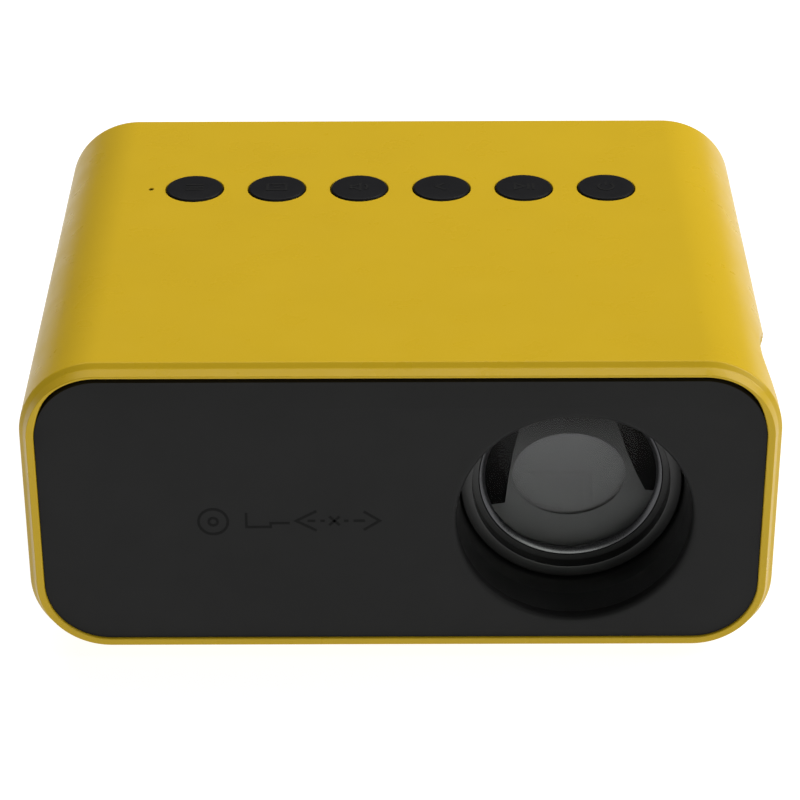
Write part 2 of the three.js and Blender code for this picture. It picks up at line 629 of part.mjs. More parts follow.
function makeFanRotor() {
  const hub = revolved("y", [
    [0, FAN.y0 + 0.6], [6.4, FAN.y0 + 0.6], [6.8, FAN.y0 + 1], [6.8, FAN.y1 - 1.7],
    [1.4, FAN.y1 - 1.7], [1.4, FAN.y0 + 2.4], [0, FAN.y0 + 2.4],
  ], 16);
  const blades = Array.from({ length: 7 }, (_, i) => {
    const blade = new THREE.BoxGeometry(7, 0.9, 6.4);
    blade.translate(9.7, 0, 0).rotateX(THREE.MathUtils.degToRad(42));
    blade.translate(0, (FAN.y0 + FAN.y1) / 2 - 0.8, 0).rotateY((i * 2 * Math.PI) / 7);
    return solid(blade);
  });
  return join(hub, ...blades);
}

// ---------------------------------------------------------------- electronics and sound
function makeMainBoard() {
  const plate = block(BOARD.x0, BOARD.y0, BOARD.z0, BOARD.x1, BOARD.y1, BOARD.z1 - 0.05);
  const chips = [
    block(-24, 18, BOARD.z1 - 0.2, -13, 29, BOARD.z1 + 1),
    block(-26, -7, BOARD.z1 - 0.2, -20, -2, BOARD.z1 + 2.4),
    block(-16, -10, BOARD.z1 - 0.2, -9, -4, BOARD.z1 + 0.8),
    rod("z", 2.5, BOARD.z1 - 0.2, BOARD.z1 + 4.8, -6, 36.5, 12),
  ];
  return join(plate, ...chips);
}

function makeSocket({ x, width, z0, height, depth }, wall) {
  const y1 = PORT_FACE;
  const y0 = y1 - depth;
  const half = width / 2;
  const shell = block(x - half, y0, z0, x + half, y1, z0 + height);
  const mouth = block(x - half + wall, y0 + 1.5, z0 + wall, x + half - wall, y1 + 1, z0 + height - wall);
  // The contact tongue: high up in a tall socket, in the middle of a flat one.
  const tall = height > 5;
  const thickness = tall ? 1.3 : 0.7;
  const top = z0 + height / 2 + (tall ? 1.6 : thickness / 2);
  const inset = tall ? 1 : 1.6;
  const tongue = block(x - half + inset, y0 + 1, top - thickness, x + half - inset, y1 - 1.2, top);
  return join(cut(shell, mouth), tongue);
}

function makeAudioJack() {
  const { x, width, z0, height, depth } = PORTS.audio;
  const body = block(x - width / 2, PORT_FACE - depth, z0, x + width / 2, PORT_FACE, z0 + height);
  return cut(body, rod("y", 1.8, PORT_FACE - depth + 1.2, PORT_FACE + 1, x, z0 + height / 2));
}

// The speaker faces the left wall, so its profile runs along +X from the cone's rim.
const SPEAKER_X = -SIDE + CASE.wall + 0.3;
const makeSpeakerBasket = () => revolved("x", [
  [SPEAKER.radius - 1.8, 0], [SPEAKER.radius, 0], [SPEAKER.radius, 1.6], [7.5, 4.2],
  [7.5, 8], [0, 8], [0, 5.2], [5.5, 5.2], [5.5, 3.4], [SPEAKER.radius - 1.8, 1.2],
], 20);
const makeSpeakerCone = () => revolved("x", [
  [0, 1.8], [5, 2.6], [10.4, 0.5], [11.9, 0.4], [11.9, 0.9], [10.4, 1], [5, 3.1], [0, 2.3],
], 20);

// ---------------------------------------------------------------- assembly
place("outer_sleeve", makeSleeve(), FINISH.yellow);
place("front_panel", makeFrontPanel(), FINISH.panelBlack);
place("rear_panel", makeRearPanel(), FINISH.panelBlack);
place("chassis_tray", makeTray(), FINISH.grey);
feetPlaces().forEach(([x, y], i) => place(`foot_${i + 1}`, makeFoot(), FINISH.rubber, [x, y, 0]));
bossPlaces.forEach(([x, sz], i) => {
  const at = [x, REAR - PANEL.recess - 1.05, bossHeight(sz)];
  place(`rear_screw_${i + 1}`, makePanelScrew(), FINISH.steel, at);
});

keyPlaces().forEach((x, i) => {
  place(`${KEY_NAMES[i]}_key`, makeKey(), FINISH.keyBlack, [x, KEYS.y, 0]);
  place(`tact_switch_${i + 1}`, makeTactSwitch(), FINISH.grey, [x, KEYS.y, 0]);
});
place("key_board", makeKeyBoard(), FINISH.board);
place("status_light_pipe", makeLightPipe(), FINISH.glass, [LIGHT_HOLE.x, LIGHT_HOLE.y, 0]);

const lensGroup = new THREE.Group();
lensGroup.position.set(LENS.x, 0, LENS.z);
model.add(lensGroup);
const onAxis = [0, 0, 0];
place("lens_guide_tube", makeGuideTube(), FINISH.barrelBlack, onAxis, lensGroup);
place("lens_barrel", makeBarrel(), FINISH.barrelBlack, onAxis, lensGroup);
place("lens_retaining_ring", makeRetainingRing(), FINISH.steel, onAxis, lensGroup);
const LENSES = {
  front_lens: [14.6, RIM_Y + 3.2, RIM_Y + 7, 2.6, 0.6],
  middle_lens: [12.2, RIM_Y + 8.8, RIM_Y + 13, -1.2, -1.4],
  rear_lens: [13.4, RIM_Y + 15, RIM_Y + 18.4, 0.4, 1.8],
};
for (const [name, sizes] of Object.entries(LENSES)) {
  place(name, revolved("y", lensProfile(...sizes), 24), FINISH.glass, onAxis, lensGroup);
}
const rackAt = [45.15 - LENS.x, KNOB.y, KNOB.z - PITCH_RADIUS - LENS.z];
place("focus_rack", makeRack(), FINISH.barrelBlack, rackAt, lensGroup);

const knobAt = [0, KNOB.y, KNOB.z];
place("focus_knob", makeKnob(), FINISH.keyBlack, knobAt);
place("focus_pinion", makePinion(), FINISH.steel, knobAt);
place("knob_clip", makeKnobClip(), FINISH.steel, knobAt);

place("optical_housing", makeHousing(), FINISH.barrelBlack);
place("optical_cover", makeHousingCover(), FINISH.barrelBlack);
place("fold_mirror", makeMirror(), FINISH.mirror);
place("lcd_panel", crossPlate(0.6, 2.4, 41, 30.8), FINISH.glass);
place("exit_fresnel_lens", crossPlate(3.2, 4.7, 41, 30.8), FINISH.glass);
place("light_funnel", makeFunnel(), FINISH.grey);
place("entry_fresnel_lens", crossPlate(-3.4, -2.2, 38.6, 28.4), FINISH.glass);
place("condenser_lens", makeCondenser(), FINISH.glass, [-21, LIGHT_Y, LENS.z]);
place("led_board", crossPlate(-31, -29.6, 23, 23), FINISH.aluminium);
place("led_emitter", crossPlate(-29.5, -28.4, 10, 10), FINISH.led);
place("heat_sink", makeHeatSink(), FINISH.aluminium);

const fanAt = [FAN.x, 0, FAN.z];
place("fan_frame", makeFanFrame(), FINISH.fan, fanAt);
place("fan_rotor", makeFanRotor(), FINISH.fan, fanAt);

place("main_board", makeMainBoard(), FINISH.board);
place("usb_socket", makeSocket(PORTS.usb, 0.35), FINISH.steel);
place("power_socket", makeSocket(PORTS.power, 0.35), FINISH.steel);
place("audio_jack", makeAudioJack(), FINISH.panelBlack);
place("speaker_basket", makeSpeakerBasket(), FINISH.steel, [SPEAKER_X, SPEAKER.y, SPEAKER.z]);
place("speaker_cone", makeSpeakerCone(), FINISH.paper, [SPEAKER_X, SPEAKER.y, SPEAKER.z]);

// Leads and ribbons run from each part down to the main board.
const WIRE = new THREE.Shape().absarc(0, 0, 0.55, 0, 2 * Math.PI);
const LED_LEAD = [[-28.8, 6, 16], [-28.8, 6, 12.6], [-28, 6, 10.4], [-26.6, 6, 8.6]];
const FAN_LEAD = [[-20, 31.4, 12.6], [-19, 31, 10.6], [-17.6, 30.8, 8.2]];
const SPEAKER_LEAD = [
  [-47.9, -22, 27.2], [-45.4, -22, 24], [-43, -21.4, 13],
  [-38.5, -18, 7.6], [-32, -11, 8.2], [-28.4, -8.6, 8.3],
];
place("led_cable", lead(LED_LEAD, WIRE, 10), FINISH.wire);
place("fan_cable", lead(FAN_LEAD, WIRE, 8), FINISH.wire);
place("speaker_cable", lead(SPEAKER_LEAD, WIRE, 20), FINISH.wire);

const KEY_RIBBON = [
  [22.8, 45.75], [30, 45.75], [36, 45.2], [38.6, 42], [38.6, 14], [38.2, 9.4], [36.4, 7.75], [33, 7.75],
];
const LCD_RIBBON = [[1.5, 10], [1.5, 9.2], [0.6, 8.1], [-1.5, 7.8], [-7, 7.8]];
place("key_ribbon", extrudedX(strip(KEY_RIBBON, 0.2), -14, -9.5), FINISH.ribbon);
place("lcd_ribbon", extrudedY(strip(LCD_RIBBON, 0.2), 6, 18), FINISH.ribbon);

export default model;
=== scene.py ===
"""Looks of the palm-size home projector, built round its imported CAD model."""

import json
import math

import bmesh
import bpy
from mathutils import Matrix, Vector


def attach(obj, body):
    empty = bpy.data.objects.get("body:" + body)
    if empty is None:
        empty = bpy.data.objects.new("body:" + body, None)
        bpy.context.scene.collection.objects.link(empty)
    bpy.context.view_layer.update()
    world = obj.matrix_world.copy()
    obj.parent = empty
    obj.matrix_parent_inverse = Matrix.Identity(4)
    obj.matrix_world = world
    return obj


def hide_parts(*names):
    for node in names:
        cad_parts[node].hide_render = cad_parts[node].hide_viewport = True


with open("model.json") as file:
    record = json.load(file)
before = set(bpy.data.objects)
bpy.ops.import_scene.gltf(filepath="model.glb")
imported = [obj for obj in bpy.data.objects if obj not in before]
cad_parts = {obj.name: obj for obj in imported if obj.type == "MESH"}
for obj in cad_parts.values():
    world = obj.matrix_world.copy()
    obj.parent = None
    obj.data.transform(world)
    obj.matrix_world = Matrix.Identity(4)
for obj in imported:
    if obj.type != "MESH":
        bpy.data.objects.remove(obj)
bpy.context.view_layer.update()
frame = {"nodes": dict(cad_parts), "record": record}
NODES = frame["nodes"]
MM = 0.001

# ------------------------------------------------------------------ sizes, in millimetres
FOOT = 1.2
WIDTH, DEPTH, HEIGHT = 118.0, 90.0, 52.0
CORNER = 12.6
WALL = 2.5
LIP, LIP_DEPTH, INNER_DEPTH = 1.5, 2.3, 2.4
PANEL_SET_BACK, PANEL_THICK = 0.4, 2
FRONT, REAR = -DEPTH / 2, DEPTH / 2
MIDDLE = FOOT + HEIGHT / 2
TOP = FOOT + HEIGHT
SIDE = WIDTH / 2

KEY_X = [(i - 2.5) * 14 for i in range(6)]
KEY_Y = 17.5
KEY_NAMES = ["menu", "source", "volume", "previous", "play", "power"]
KEY_TOP = TOP + 0.35
KEY_HOLE_R = 4.98
LIGHT_HOLE, LIGHT_HOLE_R = (-42.45, KEY_Y), 0.45

LENS_X, LENS_Z = 27.25, FOOT + 24.4
RECESS_R = 18.5
RIM_Y = FRONT + 11.4
KNOB_Y, KNOB_Z, KNOB_R = -24.7, FOOT + 29.5, 11.2
SHAFT_HOLE_R = 2.0
SCOOP_RIM, SCOOP_FLOOR, SCOOP_DEPTH = 16.0, 12.2, 5.0
SCOOP_LEAN, SCOOP_RISE, SCOOP_BLEND = 0.25, 0.14, 1.2
RIGHT_WALL_X = 40
SPEAKER_Y = -22.0
BOSS_X, BOSS_Z = 51.35, 7.65
FAN_X = -34.0
FOOT_X, FOOT_Y, FOOT_HOLE_R = 44, 34, 2.7
BOARD_TOP = 7.5
PORTS = {"usb": (39.5, 13.2, 5.8), "power": (26.2, 9.0, 3.3), "audio": (16.4, 6.4, 5.4)}


# ------------------------------------------------------------------ node materials
class Shader:
    """A Principled material whose colour, roughness and relief come from noise in object space."""

    def __init__(self, name):
        self.material = bpy.data.materials.new(name)
        self.material.use_nodes = True
        self.tree = self.material.node_tree
        self.bsdf = self.tree.nodes["Principled BSDF"]
        self.coordinates = self.add("ShaderNodeTexCoord").outputs["Object"]

    def add(self, kind, **settings):
        node = self.tree.nodes.new(kind)
        for key, value in settings.items():
            setattr(node, key, value)
        return node

    def link(self, source, target):
        self.tree.links.new(source, target)

    def set(self, **sockets):
        for name, value in sockets.items():
            self.bsdf.inputs[name.replace("_", " ")].default_value = value
        return self

    def noise(self, size_mm, detail=2.0, stretch=(1, 1, 1)):
        """Noise whose features are about size_mm wide, from 0 to 1."""
        mapping = self.add("ShaderNodeMapping")
        mapping.inputs["Scale"].default_value = [s / (size_mm * MM) for s in stretch]
        self.link(self.coordinates, mapping.inputs["Vector"])
        node = self.add("ShaderNodeTexNoise")
        node.inputs["Scale"].default_value = 1.0
        node.inputs["Detail"].default_value = detail
        self.link(mapping.outputs[0], node.inputs["Vector"])
        return node.outputs["Fac"]

    def remap(self, value, low, high, to_low, to_high):
        node = self.add("ShaderNodeMapRange")
        for i, bound in enumerate((low, high, to_low, to_high), start=1):
            node.inputs[i].default_value = bound
        self.link(value, node.inputs[0])
        return node.outputs[0]

    def ramp(self, value, stops):
        node = self.add("ShaderNodeValToRGB")
        node.color_ramp.elements.remove(node.color_ramp.elements[1])
        for i, (position, colour) in enumerate(stops):
            if i:
                stop = node.color_ramp.elements.new(position)
            else:
                stop = node.color_ramp.elements[0]
                stop.position = position
            stop.color = (*colour, 1)
        self.link(value, node.inputs["Fac"])
        return node.outputs["Color"]

    def relief(self, height, depth_mm, strength=1.0):
        """Bump the surface, on top of any relief already there."""
        node = self.add("ShaderNodeBump")
        node.inputs["Strength"].default_value = strength
        node.inputs["Distance"].default_value = depth_mm * MM
        self.link(height, node.inputs["Height"])
        below = self.bsdf.inputs["Normal"]
        if below.is_linked:
            self.link(below.links[0].from_socket, node.inputs["Normal"])
        self.link(node.outputs[0], below)
        return self


def linear(*rgb):
    """sRGB 0 to 255 as linear 0 to 1."""
    return tuple(c / 255 / 12.92 if c <= 10 else ((c / 255 + 0.055) / 1.055) ** 2.4 for c in rgb)


def shades(colour, spread):
    """A darker and a lighter neighbour of a linear colour."""
    darker = tuple(c * (1 - spread) for c in colour)
    lighter = tuple(min(1, c * (1 + spread)) for c in colour)
    return [(0.3, darker), (0.7, lighter)]


def plastic(name, colour, roughness, grain_mm=0.25, grain_depth=0.004, spread=0.03, mottle_mm=9.0):
    """Moulded plastic: slight colour drift, uneven gloss and the mould's fine grain."""
    shader = Shader(name)
    mottle = shader.ramp(shader.noise(mottle_mm, 3), shades(colour, spread))
    shader.link(mottle, shader.bsdf.inputs["Base Color"])
    uneven = shader.remap(shader.noise(mottle_mm * 0.4, 4), 0.3, 0.7, roughness - 0.04, roughness + 0.04)
    shader.link(uneven, shader.bsdf.inputs["Roughness"])
    shader.relief(shader.noise(grain_mm, 2), grain_depth)
    return shader


def metal(name, colour, roughness, brush=(1, 1, 1), brush_mm=0.15):
    """Bare metal with fine brushed or rolled lines."""
    shader = Shader(name).set(Metallic=1.0)
    shader.link(shader.ramp(shader.noise(4, 3), shades(colour, 0.05)), shader.bsdf.inputs["Base Color"])
    lines = shader.noise(brush_mm, 2, brush)
    gloss = shader.remap(lines, 0.3, 0.7, roughness - 0.06, roughness + 0.08)
    shader.link(gloss, shader.bsdf.inputs["Roughness"])
    shader.relief(lines, 0.002)
    return shader


def clear(name, tint, roughness=0.0, ior=1.5, mirror=1.0):
    """Clear glass or plastic with faint handling marks in its gloss; a coating cuts what it mirrors."""
    shader = Shader(name).set(Transmission_Weight=1.0, IOR=ior, Specular_Tint=(mirror, mirror, mirror, 1))
    shader.link(shader.ramp(shader.noise(6, 3), shades(tint, 0.01)), shader.bsdf.inputs["Base Color"])
    smudges = shader.remap(shader.noise(3, 4), 0.45, 0.8, roughness, roughness + 0.03)
    shader.link(smudges, shader.bsdf.inputs["Roughness"])
    return shader


YELLOW = (0.515, 0.338, 0.0135)
# What plastic(), metal() and clear() take after the name.
PLASTICS = {
    "yellow_shell": (YELLOW, 0.3, 0.32, 0.0012, 0.012, 14),
    # The lip's copy of the yellow: its colour is painted 6 % darker as painted shade; its higher specular
    # level below is its own gloss.
    "yellow_lip_shaded": (tuple(c * 0.94 for c in YELLOW), 0.3, 0.32, 0.001, 0.012, 14),
    "front_black": ((0.0115, 0.0114, 0.0116), 0.5, 0.2, 0.006, 0.05, 12),
    "rear_black": (linear(33, 33, 34), 0.52, 0.25, 0.008, 0.06, 8),
    "key_black": ((0.0088, 0.0088, 0.0098), 0.36, 0.15, 0.003, 0.06, 3),
    "mark_black": ((0.003, 0.003, 0.003), 0.5, 0.15, 0.002, 0.1, 2),
    "knob_black": (linear(30, 30, 32), 0.42, 0.2, 0.004, 0.06, 4),
    "lens_black": (linear(20, 20, 20), 0.35, 0.3, 0.003, 0.08, 5),
    "engine_black": (linear(24, 24, 24), 0.6, 0.3, 0.01, 0.08, 5),
    "fan_black": (linear(38, 38, 40), 0.45, 0.3, 0.006, 0.05, 4),
    "socket_black": (linear(22, 22, 22), 0.3, 0.3, 0.003, 0.05, 3),
    "grey_plastic": (linear(98, 101, 106), 0.5, 0.3, 0.008, 0.05, 6),
    "switch_grey": (linear(60, 60, 64), 0.4, 0.2, 0.004, 0.05, 2),
    "gear_plastic": (linear(226, 223, 210), 0.4, 0.2, 0.004, 0.04, 2),
    "led_ceramic": (linear(240, 216, 120), 0.55, 0.15, 0.01, 0.08, 1.5),
    "foot_rubber": (linear(36, 36, 37), 0.8, 0.2, 0.02, 0.08, 2),
    "wire_red": (linear(168, 40, 32), 0.45, 0.5, 0.01, 0.05, 2),
    "ribbon_film": (linear(186, 118, 46), 0.3, 0.5, 0.002, 0.05, 3),
    "speaker_paper": (linear(44, 43, 42), 0.9, 0.15, 0.03, 0.15, 1),
    # Dead black without gloss for the two sheets that are painted dark reflections in the lens.
    "painted_reflection_black": ((0.002, 0.002, 0.002), 0.7, 1.2, 0.001, 0.1, 3),
}
METALS = {
    "ring_metal": (linear(84, 84, 86), 0.3),
    "spring_steel": (linear(170, 172, 176), 0.3),
    "aluminium": (linear(200, 202, 204), 0.35, (1, 0.1, 1)),
    "socket_steel": (linear(186, 188, 190), 0.28, (1, 0.1, 1)),
    "speaker_steel": (linear(120, 122, 124), 0.4),
    "screw_steel": (linear(66, 66, 68), 0.35),
    "mirror_glass": (linear(240, 242, 244), 0.08),
}
CLEARS = {
    "lens_glass": ((0.97, 0.97, 0.97), 0.0, 1.5, 0.1),
    "coated_glass": ((0.9, 0.9, 0.92), 0.0, 1.5, 0.0),
    "clear_plastic": ((0.95, 0.96, 0.97), 0.08, 1.49),
    "lcd_glass": ((0.22, 0.24, 0.28), 0.05, 1.52),
}
SPECULAR_LEVELS = {
    "yellow_shell": 0.05, "yellow_lip_shaded": 0.2, "front_black": 0.12, "key_black": 0.04,
    "mark_black": 0.1, "painted_reflection_black": 0.0, "foot_rubber": 0.3,
}


def make_materials():
    """Every finish by name: the tables' ones, the circuit board, and the lens stop's grey, a painted
    reflection that is lighter low down and darker towards its top.
    """
    made = {name: plastic(name, *look) for name, look in PLASTICS.items()}
    made.update({name: metal(name, *look) for name, look in METALS.items()})
    made.update({name: clear(name, *look) for name, look in CLEARS.items()})
    for name, level in SPECULAR_LEVELS.items():
        made[name].set(Specular_IOR_Level=level)
    board = plastic("circuit_board", linear(28, 92, 58), 0.4, 0.4, 0.01, 0.1, 3)
    traces = board.add("ShaderNodeTexBrick", offset=0.35)
    traces.inputs["Scale"].default_value = 260
    traces.inputs["Color1"].default_value = (*linear(28, 92, 58), 1)
    traces.inputs["Color2"].default_value = (*linear(33, 102, 64), 1)
    traces.inputs["Mortar"].default_value = (*linear(52, 128, 84), 1)
    traces.inputs["Mortar Size"].default_value = 0.03
    board.link(board.coordinates, traces.inputs["Vector"])
    board.link(traces.outputs["Color"], board.bsdf.inputs["Base Color"])
    made["circuit_board"] = board
    # Painted reflection and shade: the stop is painted grey, lighter low down and darker towards its top,
    # standing in for the grey band that the front lens reflects.
    stop = plastic("stop_painted_grey", (0.1, 0.1, 0.1), 0.7, 0.3, 0.002, 0.1, 3).set(Specular_IOR_Level=0.05)
    height = stop.add("ShaderNodeSeparateXYZ")
    stop.link(stop.coordinates, height.inputs[0])
    level = stop.remap(height.outputs["Z"], (LENS_Z - 6) * MM, (LENS_Z + 8) * MM, 0, 1)
    painted_reflection_greys = stop.ramp(level, [(0, (0.165, 0.165, 0.165)), (1, (0.028, 0.028, 0.028))])
    stop.link(painted_reflection_greys, stop.bsdf.inputs["Base Color"])
    made["stop_painted_grey"] = stop
    made["hazed_glass"] = clear("hazed_glass", (0.9, 0.9, 0.9), 0.1, 1.5, 0.0).set(Transmission_Weight=0.76)
    return {name: shader.material for name, shader in made.items()}


MATERIALS = make_materials()


# ------------------------------------------------------------------ mesh building
def finish_piece(obj, slot, body="case", replaces=(), smooth=35):
    """Gives a piece its finish, its body and the CAD nodes that it stands for."""
    mesh = obj.data
    mesh.materials.clear()
    mesh.materials.append(MATERIALS[slot])
    mesh.shade_smooth()
    mesh.set_sharp_from_angle(angle=math.radians(smooth))
    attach(obj, body)
    if replaces:
        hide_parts(*replaces)
    return obj


def add_object(name, verts, faces):
    """A mesh object from points in millimetres, its faces turned outwards."""
    mesh = bpy.data.meshes.new(name)
    mesh.from_pydata([Vector(v) * MM for v in verts], [], faces)
    mesh.validate()
    obj = bpy.data.objects.new(name, mesh)
    bpy.context.scene.collection.objects.link(obj)
    face_out(mesh)
    return obj


def face_out(mesh):
    """Joins points that lie together and turns every face outwards."""
    bm = bmesh.new()
    bm.from_mesh(mesh)
    bmesh.ops.remove_doubles(bm, verts=bm.verts, dist=1e-7)
    bmesh.ops.recalc_face_normals(bm, faces=bm.faces)
    bm.to_mesh(mesh)
    bm.free()


def rounded(profile, steps=4):
    """A polyline whose corners given as (a, b, radius) are turned into arcs."""
    out = []
    count = len(profile)
    for i, point in enumerate(profile):
        here = Vector(point[:2])
        radius = point[2] if len(point) > 2 else 0
        if not radius:
            out.append(tuple(here))
            continue
        before = Vector(profile[i - 1][:2]) - here
        after = Vector(profile[(i + 1) % count][:2]) - here
        half = before.angle(after) / 2
        reach = min(radius / math.tan(half), before.length * 0.49, after.length * 0.49)
        start = here + before.normalized() * reach
        end = here + after.normalized() * reach
        bisector = (before.normalized() + after.normalized()).normalized()
        centre = here + bisector * (reach / math.cos(half))
        arm, other = start - centre, end - centre
        sweep = arm.angle_signed(other)
        for k in range(steps + 1):
            turn = Matrix.Rotation(-sweep * k / steps, 2)
            out.append(tuple(centre + turn @ arm))
    return out


AXES = {
    "x": lambda r, c, s, h: (h, r * c, r * s),
    "y": lambda r, c, s, h: (r * c, h, r * s),
    "z": lambda r, c, s, h: (r * c, r * s, h),
}


def lathe(name, profile, axis="y", at=(0, 0, 0), segments=96, closed=False, ripple=None):
    """A profile of (radius, height) turned about an axis through `at`.

    ripple(i, angle) is added to the radius of the profile's point i.
    """
    verts, rings = [], []
    for i, (radius, height) in enumerate(profile):
        if radius < 1e-6:
            rings.append([len(verts)] * segments)
            verts.append(AXES[axis](0, 0, 0, height))
            continue
        rings.append(list(range(len(verts), len(verts) + segments)))
        for k in range(segments):
            angle = 2 * math.pi * k / segments
            r = radius + (ripple(i, angle) if ripple else 0)
            verts.append(AXES[axis](r, math.cos(angle), math.sin(angle), height))
    faces = []
    pairs = list(zip(rings, rings[1:] + rings[:1]))
    for low, high in pairs if closed else pairs[:-1]:
        for k in range(segments):
            nxt = (k + 1) % segments
            quad = [low[k], low[nxt], high[nxt], high[k]]
            face = list(dict.fromkeys(quad))
            if len(face) > 2:
                faces.append(face)
    return add_object(name, [Vector(v) + Vector(at) for v in verts], faces)


def arc(cx, cy, radius, start, end, steps=10):
    """Points along an arc, its angles in degrees."""
    turns = [math.radians(start + (end - start) * k / steps) for k in range(steps + 1)]
    return [(cx + radius * math.cos(a), cy + radius * math.sin(a)) for a in turns]


def rounded_loop(half_w, half_h, radius, arc_steps=(16, 16, 16, 16), flat_x=1, flat_z=1, centre=(0, 0)):
    """A rounded rectangle as a closed loop of points, anticlockwise from the lower right corner."""
    arcs = []
    corners = [(1, -1, -90), (1, 1, 0), (-1, 1, 90), (-1, -1, 180)]
    for (sx, sz, start), steps in zip(corners, arc_steps):
        cx = centre[0] + sx * (half_w - radius)
        cz = centre[1] + sz * (half_h - radius)
        arcs.append(arc(cx, cz, radius, start, start + 90, steps))
    points = []
    for i, corner in enumerate(arcs):
        steps = flat_x if i % 2 else flat_z
        start, end = Vector(corner[-1]), Vector(arcs[(i + 1) % 4][0])
        points += corner + [tuple(start.lerp(end, k / steps)) for k in range(1, steps)]
    return points


def tube_of_loops(name, loops):
    """A closed ring-shaped body from loops of equal length, the last joined to the first."""
    size = len(loops[0])
    verts = [p for loop in loops for p in loop]
    faces = []
    for i in range(len(loops)):
        j = (i + 1) % len(loops)
        for k in range(size):
            nxt = (k + 1) % size
            faces.append((i * size + k, i * size + nxt, j * size + nxt, j * size + k))
    return add_object(name, verts, faces)


def baked(obj):
    """Applies an object's modifiers to its mesh."""
    depsgraph = bpy.context.evaluated_depsgraph_get()
    mesh = bpy.data.meshes.new_from_object(obj.evaluated_get(depsgraph))
    obj.modifiers.clear()
    obj.data = mesh
    return obj


def carve(obj, cutters):
    """Cuts the cutters out of obj and removes them."""
    for cutter in cutters:
        mod = obj.modifiers.new("cut", "BOOLEAN")
        mod.operation = "DIFFERENCE"
        mod.solver = "EXACT"
        mod.object = cutter
    baked(obj)
    for cutter in cutters:
        bpy.data.objects.remove(cutter)
    return obj


def merged(name, objects):
    """One object from several that don't touch."""
    verts, faces = [], []
    for obj in objects:
        base = len(verts)
        verts += [v.co / MM for v in obj.data.vertices]
        faces += [[base + i for i in polygon.vertices] for polygon in obj.data.polygons]
        bpy.data.objects.remove(obj)
    return add_object(name, verts, faces)


def plate(name, outlines, y0, y1, edge=0.15, resolution=3):
    """A flat plate across Y with rounded edges, from outlines in X and Z: its edge, then its holes."""
    curve = bpy.data.curves.new(name, "CURVE")
    curve.dimensions = "2D"
    curve.fill_mode = "BOTH"
    curve.extrude = ((y1 - y0) / 2 - edge) * MM
    curve.bevel_depth = edge * MM
    curve.bevel_resolution = resolution
    curve.offset = -edge * MM
    for outline in outlines:
        spline = curve.splines.new("POLY")
        spline.points.add(len(outline) - 1)
        for point, (x, z) in zip(spline.points, outline):
            point.co = (x * MM, z * MM, 0, 1)
        spline.use_cyclic_u = True
    source = bpy.data.objects.new(name + "_curve", curve)
    bpy.context.scene.collection.objects.link(source)
    depsgraph = bpy.context.evaluated_depsgraph_get()
    mesh = bpy.data.meshes.new_from_object(source.evaluated_get(depsgraph))
    bpy.data.objects.remove(source)
    upright = Matrix.Rotation(math.pi / 2, 4, "X")
    mesh.transform(Matrix.Translation((0, (y0 + y1) / 2 * MM, 0)) @ upright)
    obj = bpy.data.objects.new(name, mesh)
    bpy.context.scene.collection.objects.link(obj)
    face_out(mesh)
    return obj


def circle(x, z, radius, segments=96):
    turn = 2 * math.pi / segments
    return [(x + radius * math.cos(k * turn), z + radius * math.sin(k * turn)) for k in range(segments)]


def smoothstep(t):
    t = min(1.0, max(0.0, t))
    return t * t * (3 - 2 * t)


# ------------------------------------------------------------------ camera and light
def make_camera():
    data = bpy.data.cameras.new("camera")
    data.sensor_width = 36
    data.lens = 36 * 2921 / 800
    data.clip_start, data.clip_end = 0.01, 20
    camera = bpy.data.objects.new("camera", data)
    bpy.context.scene.collection.objects.link(camera)
    pitch, yaw, roll = (math.radians(a) for a in (30.12, 0.116, -0.22))
    back = Vector((math.sin(yaw) * math.cos(pitch), -math.cos(yaw) * math.cos(pitch), math.sin(pitch)))
    right = Vector((math.cos(yaw), math.sin(yaw), 0))
    up = back.cross(right)
    right, up = (
        math.cos(roll) * right + math.sin(roll) * up,
        -math.sin(roll) * right + math.cos(roll) * up,
    )
    turn = Matrix((right, up, back)).transposed().to_4x4()
    camera.matrix_world = Matrix.Translation(Vector((0.723, -430.7, 271.55)) * MM) @ turn
    bpy.context.scene.camera = camera


def area_light(name, at, target, size, power, colour=(1, 1, 1)):
    data = bpy.data.lights.new(name, "AREA")
    data.shape = "RECTANGLE"
    data.size, data.size_y = size
    data.energy = power
    data.color = colour
    lamp = bpy.data.objects.new(name, data)
    bpy.context.scene.collection.objects.link(lamp)
    lamp.location = at
    lamp.rotation_mode = "QUATERNION"
    lamp.rotation_quaternion = (Vector(target) - Vector(at)).to_track_quat("-Z", "Y")
    return lamp


def make_studio():
    scene = bpy.context.scene
    scene.view_settings.view_transform = "Standard"
    world = bpy.data.worlds.new("studio")
    world.use_nodes = True
    background = world.node_tree.nodes["Background"]
    background.inputs["Color"].default_value = (1, 1, 1, 1)
    background.inputs["Strength"].default_value = 0.12
    scene.world = world

    bpy.ops.mesh.primitive_grid_add(x_subdivisions=8, y_subdivisions=8, size=8)
    floor = bpy.context.active_object
    floor.name = "floor"
    paper = Shader("floor_paper").set(Specular_IOR_Level=0.2)
    grey = paper.ramp(paper.noise(60, 2), shades((0.25, 0.25, 0.25), 0.004))
    paper.link(grey, paper.bsdf.inputs["Base Color"])
    gloss = paper.remap(paper.noise(2, 2), 0.3, 0.7, 0.75, 0.85)
    paper.link(gloss, paper.bsdf.inputs["Roughness"])
    white = paper.ramp(paper.noise(60, 2), shades((1.0, 1.0, 1.0), 0.004))
    paper.link(white, paper.bsdf.inputs["Emission Color"])
    paper.set(Emission_Strength=0.92)
    floor.data.materials.append(paper.material)

    area_light("overhead", (0.1, 0.75, 1.25), (0, 0, 0), (1.9, 0.5), 21)
    area_light("right_key", (1.1, 0.1, 0.75), (0, 0, 0.03), (0.7, 0.9), 11.5)
    area_light("front_fill", (0.3, -1.4, 0.4), (0, 0, 0.02), (1.2, 0.5), 6.5, (0.96, 1.0, 0.92))


